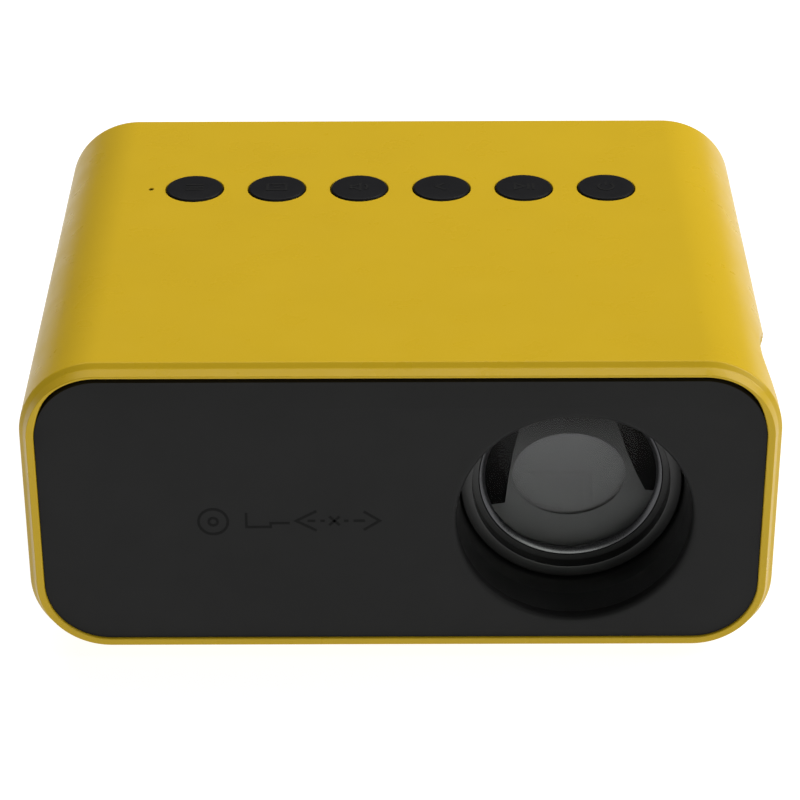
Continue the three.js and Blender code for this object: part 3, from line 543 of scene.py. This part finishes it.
# ------------------------------------------------------------------ sleeve
def scoop_distance(y, z):
    """Distance from the knob's axis; above the knob the scoop reaches higher and leans forward."""
    above = max(0, z - KNOB_Z)
    return math.hypot(y - KNOB_Y + SCOOP_LEAN * above, z - KNOB_Z - SCOOP_RISE * above)


def scoop_depth(distance):
    """How far the knob's scoop lies below the side wall at a distance from its axis."""
    if distance <= SCOOP_FLOOR:
        return SCOOP_DEPTH
    return SCOOP_DEPTH * (1 - smoothstep((distance - SCOOP_FLOOR) / (SCOOP_RIM - SCOOP_FLOOR)))


def sleeve_loop(y, inset):
    """The case's outline at one depth, drawn in by an inset, with dense points where the scoop is."""
    half_w, half_h, radius = WIDTH / 2 - inset, HEIGHT / 2 - inset, CORNER - inset
    outline = rounded_loop(half_w, half_h, radius, (24, 60, 24, 24), 24, 56, (0, MIDDLE))
    return [(x, y, z) for x, z in outline]


def scooped(point):
    """Moves a point of the right wall in to the scoop's surface."""
    x, y, z = point
    if x < RIGHT_WALL_X:
        return point
    depth = scoop_depth(scoop_distance(y, z))
    floor_x = SIDE - depth
    if depth <= 0:
        return point
    # A smooth minimum rounds the rim over.
    h = max(SCOOP_BLEND - abs(x - floor_x), 0) / SCOOP_BLEND
    return (min(x, floor_x) - h * h * SCOOP_BLEND / 4, y, z)


def inner_scooped(point):
    """Moves a point inside the right wall in, so that the wall keeps its thickness behind the scoop."""
    x, y, z = point
    if x < RIGHT_WALL_X:
        return point
    depth = scoop_depth(max(0, scoop_distance(y, z) - 1.5))
    return (min(x, SIDE - depth - 1.6), y, z) if depth > 0 else point


def sleeve_profile():
    """(depth, inset) pairs round the wall's section: outside from the rear to the lip, then inside."""
    angles = [math.radians(d) for d in range(0, 91, 18)]
    rear_round = [(REAR - 0.3 + 0.3 * math.cos(a), 0.3 - 0.3 * math.sin(a)) for a in angles]
    outside = [(y, 0.0) for y in (42, 36, 28, 20, 14, 8, 2, -3, -7)]
    # Close together where the scoop is.
    outside += [(-8 - 0.4 * i, 0.0) for i in range(84)]
    lip = rounded([
        (FRONT + LIP_DEPTH + 0.4, 0), (FRONT + LIP_DEPTH, 0, 0.6), (FRONT + 1.55, 0.68, 0.9),
        (FRONT, 1.28, 0.2), (FRONT, LIP),
    ], 6)
    inside = [(y, WALL) for y in (-40.7, -36, -30, -24, -18, -12, -8, 0, 14, 28, 42)]
    rear_inner = [(REAR - 0.2, WALL), (REAR, WALL - 0.2)]
    return rear_round, outside, lip, inside + rear_inner


def inner_edge_loops():
    """The mouth's inner edge: a thin lip along the top, a wider land down the sides and along the bottom."""
    along_top = rounded([
        (FRONT, LIP), (FRONT, LIP + 0.12, 0.12), (FRONT + 0.6, LIP + 0.2, 0.5),
        (FRONT + INNER_DEPTH, WALL),
    ], 6)
    elsewhere = rounded([(FRONT, LIP), (FRONT, WALL - 0.06, 0.25), (FRONT + INNER_DEPTH, WALL)], 13)
    loops = []
    for top_point, low_point in zip(along_top[1:], elsewhere[1:]):
        loop = []
        for top, low in zip(sleeve_loop(*top_point), sleeve_loop(*low_point)):
            share = smoothstep((top[2] - TOP + 10) / 7)
            loop.append(tuple(Vector(low).lerp(Vector(top), share)))
        loops.append(loop)
    return loops


def make_sleeve():
    rear_round, outside, front, inside = sleeve_profile()
    loops = [sleeve_loop(y, inset) for y, inset in rear_round]
    loops += [[scooped(p) for p in sleeve_loop(y, inset)] for y, inset in outside]
    loops += [sleeve_loop(y, inset) for y, inset in front] + inner_edge_loops()
    loops += [[inner_scooped(p) for p in sleeve_loop(y, inset)] for y, inset in inside]
    sleeve = tube_of_loops("case_sleeve", loops)
    cutters = [key_cutter(x) for x in KEY_X]
    cutters.append(round_cutter("z", LIGHT_HOLE_R, 40, 60, *LIGHT_HOLE, mouth=TOP, flare=0.12, segments=32))
    cutters += speaker_cutters() + intake_cutters()
    cutters.append(round_cutter("x", SHAFT_HOLE_R, 45, 60, KNOB_Y, KNOB_Z, segments=48))
    carve(sleeve, [merged("cutters", cutters)])
    finish_piece(sleeve, "yellow_shell", replaces=["outer_sleeve"], smooth=25)
    # The lip faces take the yellow painted darker, as painted shade, with more gloss.
    sleeve.data.materials.append(MATERIALS["yellow_lip_shaded"])
    for polygon in sleeve.data.polygons:
        if polygon.center.y < (FRONT + LIP_DEPTH) * MM:
            polygon.material_index = 1
    even = sleeve.modifiers.new("even_normals", "WEIGHTED_NORMAL")
    even.keep_sharp = True
    return sleeve


def round_cutter(axis, radius, start, end, a, b, mouth=None, flare=0.0, segments=64):
    """A pin along an axis that flares where it leaves the surface, to leave a softened edge."""
    profile = [(0, start), (radius, start)]
    if mouth is not None:
        away = 1 if end > mouth else -1
        profile += [(radius, mouth - away * flare), (radius + flare * 0.35, mouth - away * flare * 0.35)]
        profile += [(radius + flare, mouth), (radius + flare, end)]
    else:
        profile += [(radius, end)]
    profile.append((0, end))
    at = {"x": (0, a, b), "y": (a, 0, b), "z": (a, b, 0)}[axis]
    return lathe("cutter", profile, axis, at, segments)


def key_cutter(x):
    return round_cutter("z", KEY_HOLE_R, 45, 60, x, KEY_Y, mouth=TOP, flare=0.12, segments=96)


def speaker_cutters():
    """The speaker's holes in the left wall, in rows of 3, 4, 5, 4 and 3."""
    pitch = 4.2
    cutters = []
    for row in range(-2, 3):
        count = 5 - abs(row)
        for i in range(count):
            y = SPEAKER_Y + (i - (count - 1) / 2) * pitch
            z = MIDDLE + row * pitch * math.sin(math.pi / 3)
            cutters.append(round_cutter("x", 0.85, -50, -70, y, z, mouth=-SIDE, flare=0.15, segments=32))
    return cutters


def slot_outline(x, z, length, width, along="x", steps=10):
    """A slot with round ends, in X and Z or in X and Y."""
    reach = (length - width) / 2
    points = []
    for side in (1, -1):
        for k in range(steps + 1):
            angle = math.radians(-90 + 180 * k / steps)
            along_slot = side * (reach + width / 2 * math.cos(angle))
            points.append((along_slot, side * width / 2 * math.sin(angle)))
    if along == "y":
        points = [(-b, a) for a, b in points]
    return [(x + a, z + b) for a, b in points]


def prism(outline, low, high):
    """A straight cutter from an outline in X and Y."""
    size = len(outline)
    verts = [(x, y, low) for x, y in outline] + [(x, y, high) for x, y in outline]
    faces = [list(range(size)), list(range(size, 2 * size))]
    faces += [(k, (k + 1) % size, size + (k + 1) % size, size + k) for k in range(size)]
    return add_object("cutter", verts, faces)


def foot_places():
    return [(sx * FOOT_X, sy * FOOT_Y) for sx in (-1, 1) for sy in (-1, 1)]


def intake_cutters():
    """Through the floor: six air slots and the holes of the feet."""
    slots = [prism(slot_outline(-50 + i * 3.8, 4, 30, 2, "y"), -2, 8) for i in range(6)]
    return slots + [round_cutter("z", FOOT_HOLE_R, -2, 8, x, y, segments=32) for x, y in foot_places()]


# ------------------------------------------------------------------ front and rear panels
def panel_outline():
    """The front and rear panels fill the sleeve's mouth, so that no light gets past their edges."""
    half_w, half_h = WIDTH / 2 - WALL, HEIGHT / 2 - WALL
    return rounded_loop(half_w, half_h, CORNER - WALL, (24, 24, 24, 24), 1, 1, (0, MIDDLE))


def make_front_panel():
    """A flat panel with a round opening, rounded over, for the lens recess."""
    y0 = FRONT + PANEL_SET_BACK
    panel = plate("front_face", [panel_outline()], y0, y0 + PANEL_THICK, 0.08)
    mouth = rounded([
        (0, y0 - 1), (RECESS_R + 2, y0 - 1), (RECESS_R + 2, y0, 0), (RECESS_R, y0, 1.0),
        (RECESS_R, y0 + 3), (0, y0 + 3),
    ], 8)
    carve(panel, [lathe("mouth", mouth, "y", (LENS_X, 0, LENS_Z), 192)])
    return finish_piece(panel, "front_black", replaces=["front_panel"], smooth=40)


def boss_places():
    """Where the rear screws are, in X and Z."""
    return [(sx * BOSS_X, MIDDLE + sz * (HEIGHT / 2 - BOSS_Z)) for sx in (-1, 1) for sz in (-1, 1)]


def make_rear_panel():
    """Fan grille, vent, socket openings and screw seats, and the four screws in them."""
    y1 = REAR - PANEL_SET_BACK
    grille_r = 14.2
    holes = []
    for i in range(7):
        z = LENS_Z - 12 + 4 * i
        half = math.sqrt(grille_r**2 - (z - LENS_Z) ** 2)
        holes.append(slot_outline(FAN_X, z, 2 * half, 2.2))
    holes += [slot_outline(28, 20.5 + 3.8 * i, 28, 1.8) for i in range(6)]
    for x, width, height in PORTS.values():
        centre = (x, BOARD_TOP + height / 2)
        holes.append(rounded_loop(width / 2 + 0.3, height / 2 + 0.3, 0.6, (6, 6, 6, 6), 1, 1, centre))
    holes += [circle(x, z, 2.5, 48) for x, z in boss_places()]
    panel = plate("rear_face", [panel_outline()] + holes, y1 - PANEL_THICK, y1, 0.18)
    seat = rounded([(1.5, y1 - 1.9), (2.62, y1 - 1.9), (2.62, y1 - 1.1), (1.5, y1 - 1.1, 0.1)])
    seats = [lathe("screw_seat", seat, "y", (x, 0, z), 48, closed=True) for x, z in boss_places()]
    panel = merged("rear_face", [panel] + seats)
    finish_piece(panel, "rear_black", replaces=["rear_panel"], smooth=40)
    for i, (x, z) in enumerate(boss_places(), start=1):
        make_screw(i, x, z, y1 - 1.05)


def make_screw(index, x, z, y):
    """A low round head with a cross cut in it, turned a little differently for each screw."""
    profile = rounded([(0, y), (2.2, y), (2.2, y + 0.6, 0.25), (1.5, y + 0.88, 0.4), (0, y + 0.92)])
    head = lathe("screw", profile, "y", (x, 0, z), 48)
    cross = []
    for angle in (35 * index, 35 * index + 90):
        arm = prism(slot_outline(0, 0, 2.7, 0.5, steps=3), 0, 2)
        arm.data.transform(Matrix.Rotation(math.radians(angle), 4, "Z"))
        place = Matrix.Translation(Vector((x, y + 2.35, z)) * MM)
        arm.data.transform(place @ Matrix.Rotation(math.pi / 2, 4, "X"))
        cross.append(arm)
    carve(head, cross)
    return finish_piece(head, "screw_steel", replaces=[f"rear_screw_{index}"], smooth=30)


# ------------------------------------------------------------------ keys
def make_key(x, name):
    """A round cap with a gentle crown and a rounded edge, and a flange that keeps it in."""
    cap_r, flange_r, low, shoulder = 4.8, 5.7, 49.8, 50.55
    profile = rounded([
        (0, low), (flange_r, low), (flange_r, shoulder), (cap_r, shoulder),
        (cap_r, KEY_TOP - 0.1, 0.35), (0, KEY_TOP - 0.04),
    ], 8)
    key = lathe(f"{name}_cap", profile, "z", (x, KEY_Y, 0), 96)
    return finish_piece(key, "key_black", f"{name}_key", [f"{name}_key"], smooth=40)


# ------------------------------------------------------------------ pictograms
def stroke_edges(points, width, closed):
    """The left and right edges of a line of even width, mitred at its corners."""
    edges = []
    for i, point in enumerate(points):
        here = Vector(point)
        steps = []
        if closed or i > 0:
            steps.append((here - Vector(points[i - 1])).normalized())
        if closed or i < len(points) - 1:
            steps.append((Vector(points[(i + 1) % len(points)]) - here).normalized())
        along = sum(steps, Vector((0, 0))).normalized()
        side = Vector((-along.y, along.x))
        reach = width / 2 / max(0.4, along.dot(steps[0]))
        edges.append((here + side * reach, here - side * reach))
    return edges


# The strokes of each mark, in millimetres: points, and whether the line closes on itself.
MARK_WIDTH = 0.42
KEY_MARKS = {
    "menu": [([(-1.5, z), (1.5, z)], False) for z in (0.9, 0, -0.9)],
    "source": [
        ([(-1.6, 1.1), (1.6, 1.1), (1.6, -1.1), (-1.6, -1.1)], True),
        ([(-0.5, 0), (0.6, 0)], False),
    ],
    "volume": [
        ([(-1.4, -0.5), (-0.7, -0.5), (0.2, -1.2), (0.2, 1.2), (-0.7, 0.5), (-1.4, 0.5)], True),
        (arc(0.2, 0, 1.2, -50, 50), False),
    ],
    "previous": [([(0.7, 1.3), (-0.9, 0), (0.7, -1.3)], False)],
    "play": [
        ([(-1.5, 1.1), (0.1, 0), (-1.5, -1.1)], True),
        ([(0.8, 1.1), (0.8, -1.1)], False),
        ([(1.6, 1.1), (1.6, -1.1)], False),
    ],
    "power": [(arc(0, -0.1, 1.3, 130, 410, 18), False), ([(0, 0.2), (0, 1.6)], False)],
}
FRONT_MARKS = [
    ([(-24.2, 27.2), (-24.2, 24.6), (-20.4, 24.6), (-20.4, 25.3), (-17.4, 25.3)], False),
    ([(-13.2, 27.5), (-16.4, 25.7), (-13.2, 23.9)], False),
    ([(-14.6, 25.7), (-13.4, 25.7)], False),
    ([(-12.6, 25.7), (-11.9, 25.7)], False),
    ([(-11.2, 26.5), (-9.6, 24.9)], False),
    ([(-11.2, 24.9), (-9.6, 26.5)], False),
    ([(-8.9, 25.7), (-8.2, 25.7)], False),
    ([(-7.4, 25.7), (-5.6, 25.7)], False),
    ([(-5.8, 27.4), (-3.3, 25.7), (-5.8, 24.0)], False),
    (arc(-29.4, 25.6, 2.3, 0, 348, 29), True),
    (arc(-29.4, 25.6, 0.7, 0, 330, 11), True),
]


def marks(name, strokes, width, low, high, place):
    """Thin raised strokes, from low to high along the height that `place` maps to the case."""
    bars = []
    for points, closed in strokes:
        edges = stroke_edges(points, width, closed)
        verts, faces = [], []
        for left, right in edges:
            verts += [place(*left, low), place(*right, low), place(*right, high), place(*left, high)]
        for i in range(len(edges) if closed else len(edges) - 1):
            j = (i + 1) % len(edges)
            faces += [(4 * i + k, 4 * i + (k + 1) % 4, 4 * j + (k + 1) % 4, 4 * j + k) for k in range(4)]
        if not closed:
            last = 4 * len(edges) - 4
            faces += [(0, 1, 2, 3), (last, last + 1, last + 2, last + 3)]
        bars.append(add_object("bar", verts, faces))
    return merged(name, bars)


def make_key_marks(x, name):
    def place(a, b, h):
        return (x + a, KEY_Y + b, h)

    mark = marks(f"{name}_mark", KEY_MARKS[name], MARK_WIDTH, KEY_TOP - 0.15, KEY_TOP - 0.005, place)
    finish_piece(mark, "key_black", f"{name}_key", smooth=30)
    mark.data.materials[0] = MATERIALS["mark_black"]


def make_front_marks():
    def place(a, b, h):
        return (a, h, b)

    mark = marks("front_mark", FRONT_MARKS, MARK_WIDTH, FRONT + 0.37, FRONT + 0.5, place)
    finish_piece(mark, "front_black", smooth=30)
    mark.data.materials[0] = MATERIALS["mark_black"]


# ------------------------------------------------------------------ lens
def make_recess():
    """The round wall of the recess, which is the front of the lens guide tube."""
    y0, y1 = FRONT + 2.45, -12.4
    tube_r, flange_r, bore_r = 20, 21.4, 18
    profile = [
        (RECESS_R, y0), (tube_r, y0, 0.2), (tube_r, y1 - 2), (flange_r, y1 - 2), (flange_r, y1),
        (bore_r, y1), (bore_r, RIM_Y - 4.5, 1.0),
    ]
    tube = lathe("recess_wall", rounded(profile), "y", (LENS_X, 0, LENS_Z), 160, closed=True)
    return finish_piece(tube, "lens_black", replaces=["lens_guide_tube"], smooth=40)


def make_barrel():
    """The barrel, whose rim is the grey ring in the recess, and the ring that holds the front lens."""
    rear = RIM_Y + 19.6
    profile = [
        (15.8, RIM_Y, 0.12), (17.75, RIM_Y, 0.3), (17.75, rear, 0.3), (13.6, rear), (13.6, rear - 5),
        (12.4, rear - 5), (12.4, RIM_Y + 8.4), (14.8, RIM_Y + 8.4), (14.8, RIM_Y + 2), (15.8, RIM_Y + 2),
    ]
    barrel = lathe("lens_rim", rounded(profile), "y", (LENS_X, 0, LENS_Z), 160, closed=True)
    finish_piece(barrel, "lens_black", "lens_unit", ["lens_barrel"], smooth=40)
    profile = [(13.75, RIM_Y + 2.65), (13.95, RIM_Y + 2.35), (14.7, RIM_Y + 1.95, 0.08), (14.7, RIM_Y + 3)]
    ring = lathe("lens_ring", rounded(profile), "y", (LENS_X, 0, LENS_Z), 160, closed=True)
    finish_piece(ring, "ring_metal", "lens_unit", ["lens_retaining_ring"], smooth=40)


def lens_profile(radius, front, rear, front_bulge, rear_bulge, steps=20):
    """Two spherical faces; a positive bulge is convex."""

    def face(edge, bulge, sign):
        """One face from the axis out; edge is its depth at the rim."""
        curvature = (radius**2 + bulge**2) / (2 * abs(bulge))
        points = []
        for i in range(steps + 1):
            r = radius * i / steps
            sag = curvature - math.sqrt(curvature**2 - r * r)
            points.append((r, edge + sign * (bulge - math.copysign(sag, bulge))))
        return points

    return face(front, front_bulge, -1) + face(rear, rear_bulge, 1)[::-1]


# radius, depth of the front and the rear rim, bulge of the front and the rear face
LENSES = {
    "front_lens": (14.6, RIM_Y + 3.2, RIM_Y + 7, 2.6, 0.6),
    "middle_lens": (12.2, RIM_Y + 8.8, RIM_Y + 13, -1.2, -1.4),
    "rear_lens": (13.4, RIM_Y + 15, RIM_Y + 18.4, 0.4, 1.8),
}
# Two black sheets on the stop, painted dark reflections standing in for the dark crescents that the front
# lens reflects: the inner edge of each, then the arc that closes it.
DARK_REFLECTION_SHEETS = [
    ("dark_reflection_left", [(-6.4, 13), (-7.2, 8.6), (-7.9, 5.5), (-8.6, 2.4), (-9.2, -2), (-9.7, -6.8)], 211, 116),
    ("dark_reflection_right", [(4.6, 13.6), (5.6, 10.3), (7.4, 6.2), (8.6, 2.4), (10.2, -1.5), (11.7, -4.6)], -20, 71),
]


def make_lenses():
    """Three lenses, and the stop behind the front one with two black sheets on it that are painted dark
    reflections.
    """
    for node, sizes in LENSES.items():
        glass = lathe(node.replace("_lens", "_element"), lens_profile(*sizes), "y", (LENS_X, 0, LENS_Z), 128)
        finish_piece(glass, "lens_glass", "lens_unit", [node], smooth=50)
        glass.data.materials.append(MATERIALS["coated_glass"])
        glass.data.materials.append(MATERIALS["hazed_glass"])
        middle = (sizes[1] + sizes[2]) / 2 * MM
        for polygon in glass.data.polygons:
            if polygon.center.y > middle or node == "rear_lens":
                polygon.material_index = 1
            elif node == "middle_lens":
                polygon.material_index = 2
    profile = rounded([
        (8.5, RIM_Y + 8.36, 0.04), (14.7, RIM_Y + 7.9), (14.7, RIM_Y + 8.35), (8.5, RIM_Y + 8.5, 0.04),
    ])
    stop = lathe("lens_stop", profile, "y", (LENS_X, 0, LENS_Z), 128, closed=True)
    for vertex in stop.data.vertices:
        x, y, z = vertex.co / MM
        # The opening sits low and is a little flattened.
        if math.hypot(x - LENS_X, z - LENS_Z) < 9:
            vertex.co.z = (LENS_Z - 1.9 + (z - LENS_Z) * 0.82) * MM
    finish_piece(stop, "lens_black", "lens_unit", smooth=40)
    # The stop takes its painted reflection grey, darker towards its top.
    stop.data.materials[0] = MATERIALS["stop_painted_grey"]
    # Painted reflection: black sheets where the front lens shows dark reflected crescents.
    for name, inner, start, end in DARK_REFLECTION_SHEETS:
        outline = [(LENS_X + x, LENS_Z + z) for x, z in inner + arc(0, 0, 14.5, start, end, 24)]
        dark_sheet = plate(name, [outline], RIM_Y + 7.7, RIM_Y + 7.85, 0.03, 1)
        finish_piece(dark_sheet, "lens_black", "lens_unit", smooth=40)
        dark_sheet.data.materials[0] = MATERIALS["painted_reflection_black"]


# ------------------------------------------------------------------ focus knob
def make_knob():
    """The ribbed knob with a finger dimple, its hub and its shaft."""
    ridges = 48
    x0, x1 = 54.5, 58.4
    profile = rounded(
        [(0, x0), (KNOB_R - 0.4, x0, 0.3), (KNOB_R, x0 + 0.5, 0.2), (KNOB_R, x1 - 0.5, 0.3),
         (KNOB_R - 0.9, x1 - 0.05, 0.4)], 3)
    profile += [(KNOB_R - 1.4 - 0.35 * i, x1) for i in range(28)] + [(0, x1)]

    def ripple(index, angle):
        radius = profile[index][0]
        edge = smoothstep((radius - (KNOB_R - 0.9)) / 0.7)
        return -0.32 * edge * (0.5 + 0.5 * math.cos(ridges * angle)) ** 2

    knob = lathe("focus_wheel", profile, "x", (0, KNOB_Y, KNOB_Z), 288, ripple=ripple)
    for vertex in knob.data.vertices:
        x, y, z = vertex.co / MM
        if x > x1 - 0.2:
            distance = math.hypot(y - KNOB_Y, z - (KNOB_Z + 5.6))
            vertex.co.x -= 1.2 * (1 - smoothstep(distance / 4.4)) * MM
    axle = (0, KNOB_Y, KNOB_Z)
    hub = lathe("hub", [(0, 54.2), (3.2, 54.2), (3.2, x0 + 0.1), (0, x0 + 0.1)], "x", axle, 64)
    shaft = lathe("shaft", [(0, 47.2), (1.6, 47.2), (1.6, 54.19), (0, 54.19)], "x", axle, 48)
    knob = merged("focus_wheel", [knob, hub, shaft])
    return finish_piece(knob, "knob_black", "focus_drive", ["focus_knob"], smooth=35)


# ------------------------------------------------------------------ feet
def make_feet():
    """Four rubber pads, each with a stem in the floor."""
    profile = [(0, 0), (4.7, 0), (5, 0.3, 0.2), (5, 1.15, 0.15), (2.5, 1.15), (2.5, 3.5), (0, 3.5)]
    for index, (x, y) in enumerate(foot_places(), start=1):
        foot = lathe(f"pad_{index}", rounded(profile), "z", (x, y, 0), 64)
        finish_piece(foot, "foot_rubber", "case", [f"foot_{index}"], smooth=40)


# ------------------------------------------------------------------ CAD nodes that are kept
def dress_cad_nodes():
    """Every CAD node that still shows gets its slot's finish and softened edges."""
    slots = {part["node"]: part["material_slot"] for part in frame["record"]["subparts"]}
    for name, obj in NODES.items():
        if obj.hide_render:
            continue
        obj.data.materials.clear()
        obj.data.materials.append(MATERIALS[slots[name]])
        bevel = obj.modifiers.new("edges", "BEVEL")
        bevel.width = 0.08 * MM
        bevel.segments = 2
        bevel.limit_method = "ANGLE"
        bevel.angle_limit = math.radians(40)


make_camera()
make_studio()
make_sleeve()
make_front_panel()
make_rear_panel()
for key_x, key_name in zip(KEY_X, KEY_NAMES):
    make_key(key_x, key_name)
    make_key_marks(key_x, key_name)
make_front_marks()
make_recess()
make_barrel()
make_lenses()
make_knob()
make_feet()
dress_cad_nodes()
